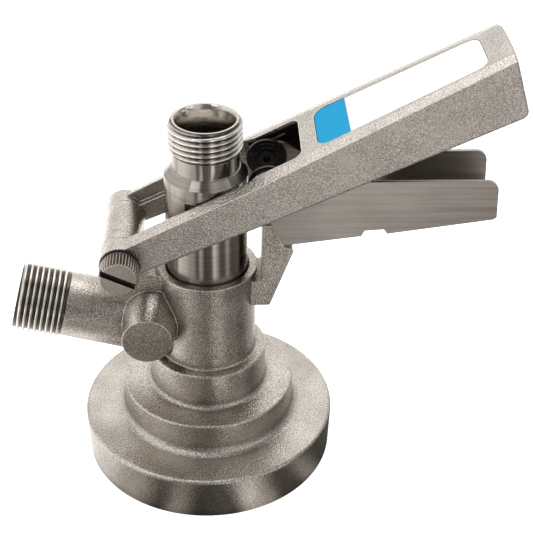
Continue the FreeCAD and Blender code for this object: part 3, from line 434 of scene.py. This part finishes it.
def finish_mesh(name, mesh_data, material, angle=32):
    """Turn a bmesh into an object with smooth faces and sharp edges."""
    bmesh.ops.remove_doubles(mesh_data, verts=mesh_data.verts, dist=2e-7)
    bmesh.ops.recalc_face_normals(mesh_data, faces=mesh_data.faces)
    mesh = bpy.data.meshes.new(name)
    mesh_data.to_mesh(mesh)
    mesh_data.free()
    if "custom_normal" in mesh.attributes:
        mesh.attributes.remove(mesh.attributes["custom_normal"])
    mesh.materials.append(material)
    for face in mesh.polygons:
        face.use_smooth = True
        face.material_index = 0
    mesh.set_sharp_from_angle(angle=math.radians(angle))
    piece = bpy.data.objects.new(name, mesh)
    bpy.context.scene.collection.objects.link(piece)
    return piece


def trimmed_copy(node_name, name, point, normal, material):
    """Copy of a CAD node, cut off at a plane on the side that the normal points to."""
    mesh_data = bmesh.new()
    mesh_data.from_mesh(nodes[node_name].data)
    bmesh.ops.remove_doubles(mesh_data, verts=mesh_data.verts, dist=1e-7)
    everything = mesh_data.verts[:] + mesh_data.edges[:] + mesh_data.faces[:]
    cut = bmesh.ops.bisect_plane(mesh_data, geom=everything, dist=1e-7, plane_co=point,
                                 plane_no=normal, clear_outer=True)
    rim = [item for item in cut["geom_cut"] if isinstance(item, bmesh.types.BMEdge)]
    bmesh.ops.bridge_loops(mesh_data, edges=rim)
    return finish_mesh(name, mesh_data, material, 24)


def thread_radius(phase):
    """Radius of a rounded 55 degree thread at a phase of 0 to 1 along one pitch."""
    corners = ((0.0, 1.0), (0.10, 1.0), (0.17, 0.93), (0.43, 0.10), (0.50, 0.0), (0.60, 0.0),
               (0.67, 0.07), (0.93, 0.93), (1.0, 1.0))
    for (start, low), (end, high) in zip(corners, corners[1:]):
        if start <= phase <= end:
            return low + (high - low) * (phase - start) / (end - start)
    return 1.0


THREAD_STEPS = (0.0, 0.10, 0.17, 0.30, 0.43, 0.50, 0.60, 0.67, 0.80, 0.93)


def threaded_tube(name, length, inner, matrix, material, root_run=1.2):
    """Tube along Z with a helical thread outside and a turned profile inside, in millimetres."""
    around = 120
    mesh_data = bmesh.new()
    rows = []
    count = int(length / THREAD_PITCH) + 3
    for turn in range(-2, count):
        for step in THREAD_STEPS:
            row = []
            for index in range(around + 1):
                angle = 2 * math.pi * index / around
                height = THREAD_PITCH * (turn + step + index / around)
                fade = min(1.0, max(0.0, (height - 0.2) / root_run))
                radius = THREAD_RADIUS - THREAD_DEPTH * (1 - thread_radius(step) * fade)
                chamfer = THREAD_RADIUS - THREAD_DEPTH - 0.1 + max(0.0, length - height) * 1.1
                radius = min(radius, chamfer)
                place = Vector((radius * math.cos(angle), radius * math.sin(angle), height))
                row.append(mesh_data.verts.new(place))
            rows.append(row)
    for low, high in zip(rows, rows[1:]):
        for index in range(around):
            mesh_data.faces.new((low[index], low[index + 1], high[index + 1], high[index]))
    bmesh.ops.remove_doubles(mesh_data, verts=mesh_data.verts, dist=1e-5)
    for height, direction in ((0.0, -1), (length, 1)):
        everything = mesh_data.verts[:] + mesh_data.edges[:] + mesh_data.faces[:]
        bmesh.ops.bisect_plane(mesh_data, geom=everything, dist=1e-6, plane_co=(0, 0, height),
                               plane_no=(0, 0, direction), clear_outer=True)
    rings = []
    for radius, height in inner:
        ring = []
        for index in range(around):
            angle = 2 * math.pi * index / around
            place = Vector((radius * math.cos(angle), radius * math.sin(angle), height))
            ring.append(mesh_data.verts.new(place))
        rings.append(ring)
    for low, high in zip(rings, rings[1:]):
        for index in range(around):
            after = (index + 1) % around
            mesh_data.faces.new((low[index], high[index], high[after], low[after]))
    for height in (0.0, length):
        rim = [edge for edge in mesh_data.edges
               if edge.is_boundary and all(abs(v.co.z - height) < 1e-5 for v in edge.verts)]
        bmesh.ops.bridge_loops(mesh_data, edges=rim)
    mesh_data.transform(matrix @ Matrix.Scale(MM, 4))
    return finish_mesh(name, mesh_data, material, 40)


def lathe(mesh_data, profile, around, shape=None):
    """Closed turned form along Z from (radius, height) pairs; shape may change the radius."""
    rings = []
    for radius, height in profile:
        if radius == 0:
            rings.append([mesh_data.verts.new((0, 0, height))])
            continue
        ring = []
        for index in range(around):
            angle = 2 * math.pi * index / around
            used = shape(radius, height, angle) if shape else radius
            ring.append(mesh_data.verts.new((used * math.cos(angle), used * math.sin(angle), height)))
        rings.append(ring)
    for low, high in zip(rings, rings[1:]):
        for index in range(around):
            after = (index + 1) % around
            if len(low) == 1:
                mesh_data.faces.new((low[0], high[after], high[index]))
            elif len(high) == 1:
                mesh_data.faces.new((low[index], low[after], high[0]))
            else:
                mesh_data.faces.new((low[index], low[after], high[after], high[index]))


# Threads of the gas inlet and of the beer outlet
inlet_matrix = (Matrix.Translation((Vector((0, 0, INLET_HEIGHT)) + INLET_AXIS * INLET_THREAD_START) * MM)
                @ Vector((0, 0, 1)).rotation_difference(INLET_AXIS).to_matrix().to_4x4())
inlet_length = INLET_END - INLET_THREAD_START
body_skin = trimmed_copy("body_casting", "body_skin", inlet_matrix.translation, INLET_AXIS, CAST_BODY)
inlet_thread = threaded_tube(
    "inlet_thread", inlet_length,
    [(6.0, 0.0), (6.0, 1.6), (8.2, 1.6), (8.2, inlet_length - 0.8), (9.0, inlet_length)],
    inlet_matrix, INLET_STEEL)
for piece in (body_skin, inlet_thread):
    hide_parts("body_casting")
    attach(piece, "coupler_body")

outlet_matrix = Matrix.Translation((0, 0, OUTLET_THREAD_START * MM))
outlet_length = OUTLET_END - OUTLET_THREAD_START
probe_skin = trimmed_copy("probe", "probe_skin", outlet_matrix.translation, Vector((0, 0, 1)), PROBE_STEEL)
outlet_thread = threaded_tube(
    "outlet_thread", outlet_length,
    [(8.8, 0.0), (8.8, outlet_length - 1.0), (9.5, outlet_length)],
    outlet_matrix, THREAD_STEEL)
for piece in (probe_skin, outlet_thread):
    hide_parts("probe")
    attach(piece, "sliding_probe")

# Hinge bolt with a knurled, slotted head
TEETH = 38


def knurl(radius, height, angle):
    inside = HEAD_RADIUS - 0.9 < radius
    if not inside or height > HEAD_LENGTH - 0.2 or height < 0.35:
        return radius
    wave = 0.5 - 0.5 * math.cos(TEETH * angle)
    return radius - 0.55 * wave ** 0.6


def hinge_bolt_piece():
    mesh_data = bmesh.new()
    profile = [(0, -33), (2.6, -33), (3.0, -32.6), (3.0, 0), (5.6, 0), (HEAD_RADIUS - 0.3, 0.2)]
    profile += [(HEAD_RADIUS, 0.5), (HEAD_RADIUS, 1.2), (HEAD_RADIUS, 3.4), (HEAD_RADIUS, HEAD_LENGTH - 0.6)]
    profile += [(HEAD_RADIUS - 0.06, HEAD_LENGTH - 0.3), (HEAD_RADIUS - 0.6, HEAD_LENGTH - 0.1)]
    profile += [(HEAD_RADIUS - 0.7, HEAD_LENGTH), (0, HEAD_LENGTH)]
    lathe(mesh_data, profile, TEETH * 8, knurl)
    turn = Matrix.Rotation(math.radians(90), 4, "X")
    place = Matrix.Translation(HINGE + Vector((0, HEAD_BACK * MM, 0)))
    mesh_data.transform(place @ turn @ Matrix.Scale(MM, 4))
    return finish_mesh("knurled_bolt", mesh_data, BOLT_STEEL, 40)


def cut_box(piece, centre, size, rotation):
    """Cut a box out of a piece and apply the cut."""
    mesh_data = bmesh.new()
    bmesh.ops.create_cube(mesh_data, size=1.0)
    mesh_data.transform(Matrix.Translation(centre) @ rotation.to_4x4() @ Matrix.Diagonal((*size, 1)))
    mesh = bpy.data.meshes.new("cutter")
    mesh_data.to_mesh(mesh)
    mesh_data.free()
    cutter = bpy.data.objects.new("cutter", mesh)
    bpy.context.scene.collection.objects.link(cutter)
    boolean = piece.modifiers.new("slot", "BOOLEAN")
    boolean.operation = "DIFFERENCE"
    boolean.object = cutter
    boolean.solver = "EXACT"
    graph = bpy.context.evaluated_depsgraph_get()
    result = bpy.data.meshes.new_from_object(piece.evaluated_get(graph))
    piece.modifiers.clear()
    for face in result.polygons:
        face.use_smooth = True
    result.set_sharp_from_angle(angle=math.radians(30))
    piece.data = result
    bpy.data.objects.remove(cutter)


bolt = hinge_bolt_piece()
slot_turn = Matrix.Rotation(SLOT_TURN, 3, "Y")
cut_box(bolt, HINGE + Vector((0, (HEAD_BACK - HEAD_LENGTH) * MM, 0)), (0.02, 0.0032, 0.002), slot_turn)
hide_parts("hinge_bolt")
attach(bolt, "lever")


# Floor, light and camera

FLOOR_WHITE = 0.85

# Glow painted on the floor, seen only in reflections, as (turn, level) pairs: 0.25 is -X, 0.5 is -Y and 0.75
# is +X
FRONT_BANDS = ((0.0, 0.5), (0.40, 0.5), (0.43, 0.12), (0.455, 0.95), (0.485, 0.12), (0.53, 0.20),
               (0.555, 1.0), (0.585, 0.12), (0.63, 0.15), (0.655, 0.80), (0.69, 0.15), (0.78, 0.25),
               (0.88, 0.5))
LOBES = ((0.0, 1.0), (0.083, 1.1), (0.144, 0.95), (0.18, 0.45), (0.222, 1.15), (0.278, 1.15), (0.328, 0.85),
         (0.375, 0.30), (0.444, 0.0), (0.533, 0.0), (0.558, 0.5), (0.580, 0.5), (0.605, 0.02), (0.694, 0.0),
         (0.764, 0.0), (0.80, 0.5), (0.839, 0.2), (0.889, 0.9), (1.0, 1.0))


def floor():
    """Plain white floor to the camera; in reflections it glows in painted soft bands that light the metal
    from below, dimmer close to the part as painted shadow.
    """
    mesh_data = bmesh.new()
    bmesh.ops.create_circle(mesh_data, cap_ends=True, radius=4.0, segments=96)
    mesh = bpy.data.meshes.new("floor")
    mesh_data.to_mesh(mesh)
    mesh_data.free()
    piece = bpy.data.objects.new("floor", mesh)
    piece.location.z = -0.0002
    bpy.context.scene.collection.objects.link(piece)
    shader = Shader("floor")
    seen = shader.add("ShaderNodeLightPath").outputs["Is Camera Ray"]
    split = shader.add("ShaderNodeSeparateXYZ")
    shader.link(shader.place, split.inputs[0])
    x, y = split.outputs["X"], split.outputs["Y"]
    square = shader.math("ADD", shader.math("MULTIPLY", x, x), shader.math("MULTIPLY", y, y))
    radius = shader.math("SQRT", square)
    turn = shader.math("ARCTAN2", x, shader.math("MULTIPLY", y, -1.0))
    turn = shader.math("ADD", shader.math("DIVIDE", turn, 2 * math.pi), 0.5)
    # Painted shadow: the glow is dimmer close to the part's foot.
    outward = shader.math("POWER", shader.spread(radius, 0.05, 0.30, 0.0, 1.0), 1.3)
    front = shader.math("ADD", 0.19, shader.math("MULTIPLY", outward, 0.68))
    shade = shader.ramp(turn, FRONT_BANDS)
    shade = shader.math("MULTIPLY", shade, 2.2)
    lobes = shader.ramp(turn, LOBES)
    level = shader.math("ADD", shader.math("MULTIPLY", front, shade), lobes)
    warm = shader.mix(level, (1.0, 0.90, 0.80), (1.0, 0.985, 0.96))
    shader.feed(shader.bsdf.inputs["Base Color"], shader.mix(seen, (0.04, 0.04, 0.04), (0.93, 0.93, 0.93)))
    shader.bsdf.inputs["Roughness"].default_value = 0.9
    shader.bsdf.inputs["Specular IOR Level"].default_value = 0.0
    shader.feed(shader.bsdf.inputs["Emission Color"], shader.mix(seen, warm, (1.0, 1.0, 1.0)))
    glow = shader.math("ADD", shader.math("MULTIPLY", seen, FLOOR_WHITE),
                       shader.math("MULTIPLY", shader.math("SUBTRACT", 1.0, seen), level))
    shader.feed(shader.bsdf.inputs["Emission Strength"], glow)
    piece.data.materials.append(shader.material)


def area_light(name, place, target, size, power, color=(1, 1, 1)):
    data = bpy.data.lights.new(name, "AREA")
    data.shape = "RECTANGLE"
    data.size, data.size_y = size
    data.energy = power
    data.color = color
    light = bpy.data.objects.new(name, data)
    light.location = place
    light.rotation_euler = (Vector(target) - Vector(place)).to_track_quat("-Z", "Y").to_euler()
    bpy.context.scene.collection.objects.link(light)


def world():
    """White studio: bright behind and above, dimmer towards the camera, with tall soft flags."""
    shade = bpy.data.worlds.new("studio")
    shade.use_nodes = True
    bpy.context.scene.world = shade
    tree = shade.node_tree
    background = tree.nodes["Background"]
    coordinates = tree.nodes.new("ShaderNodeTexCoord")
    split = tree.nodes.new("ShaderNodeSeparateXYZ")
    tree.links.new(coordinates.outputs["Generated"], split.inputs[0])

    def value(operation, a, b=0.0):
        node = tree.nodes.new("ShaderNodeMath")
        node.operation = operation
        for socket, item in zip(node.inputs, (a, b)):
            if isinstance(item, bpy.types.NodeSocket):
                tree.links.new(item, socket)
            else:
                socket.default_value = item
        return node.outputs[0]

    def curve(source, stops):
        node = tree.nodes.new("ShaderNodeValToRGB")
        tree.links.new(source, node.inputs["Fac"])
        elements = node.color_ramp.elements
        while len(elements) < len(stops):
            elements.new(0.5)
        for element, (position, level) in zip(elements, stops):
            element.position = position
            element.color = (level, level, level, 1)
        return node.outputs["Color"]

    turn = value("ARCTAN2", split.outputs["X"], value("MULTIPLY", split.outputs["Y"], -1.0))
    turn = value("ADD", value("DIVIDE", turn, 2 * math.pi), 0.5)
    around = curve(turn, ((0.0, 1.0), (0.20, 0.95), (0.30, 0.95), (0.38, 0.42), (0.44, 0.16), (0.52, 0.20),
                          (0.57, 0.70), (0.62, 0.65), (0.67, 0.22), (0.78, 0.30), (0.85, 0.80), (1.0, 1.0)))
    lift = curve(value("ADD", value("MULTIPLY", split.outputs["Z"], 0.5), 0.5),
                 ((0.0, 0.3), (0.50, 0.55), (0.62, 1.0), (0.85, 1.0), (1.0, 0.9)))
    strength = value("MULTIPLY", value("MULTIPLY", around, lift), 1.25)
    camera_ray = tree.nodes.new("ShaderNodeLightPath").outputs["Is Camera Ray"]
    shown = tree.nodes.new("ShaderNodeMix")
    shown.data_type = "FLOAT"
    tree.links.new(camera_ray, shown.inputs["Factor"])
    tree.links.new(strength, shown.inputs["A"])
    shown.inputs["B"].default_value = 1.0
    tree.links.new(shown.outputs["Result"], background.inputs["Strength"])
    background.inputs["Color"].default_value = (1, 0.985, 0.96, 1)


def camera():
    """Camera fitted to the photograph's perspective."""
    azimuth, elevation, roll = math.radians(2.67), math.radians(32.17), math.radians(0.92)
    ahead = Vector((math.sin(azimuth) * math.cos(elevation), math.cos(azimuth) * math.cos(elevation),
                    -math.sin(elevation)))
    right = Vector((math.cos(azimuth), -math.sin(azimuth), 0))
    up = right.cross(ahead)
    rolled_right = right * math.cos(roll) + up * math.sin(roll)
    rolled_up = up * math.cos(roll) - right * math.sin(roll)
    place = Vector((18.85, 0, 84.57)) * MM - ahead * 386.93 * MM
    data = bpy.data.cameras.new("camera")
    data.sensor_width = 36
    data.lens = 36 * 1227.94 / 533
    data.shift_y = (225 - 266.5) / 533
    data.clip_start = 0.01
    view = bpy.data.objects.new("camera", data)
    view.matrix_world = Matrix.Translation(place) @ Matrix((
        (rolled_right.x, rolled_up.x, -ahead.x), (rolled_right.y, rolled_up.y, -ahead.y),
        (rolled_right.z, rolled_up.z, -ahead.z))).to_4x4()
    bpy.context.scene.collection.objects.link(view)
    bpy.context.scene.camera = view


floor()
area_light("key", (-0.35, -0.45, 0.65), (0, 0, 0.07), (0.30, 0.45), 0.6)
area_light("fill", (0.55, -0.30, 0.45), (0.02, 0, 0.08), (0.35, 0.35), 0.3)
area_light("top", (0.0, 0.25, 0.75), (0.02, 0, 0.08), (0.6, 0.5), 1.2)
world()
camera()
bpy.context.scene.view_settings.view_transform = "Standard"
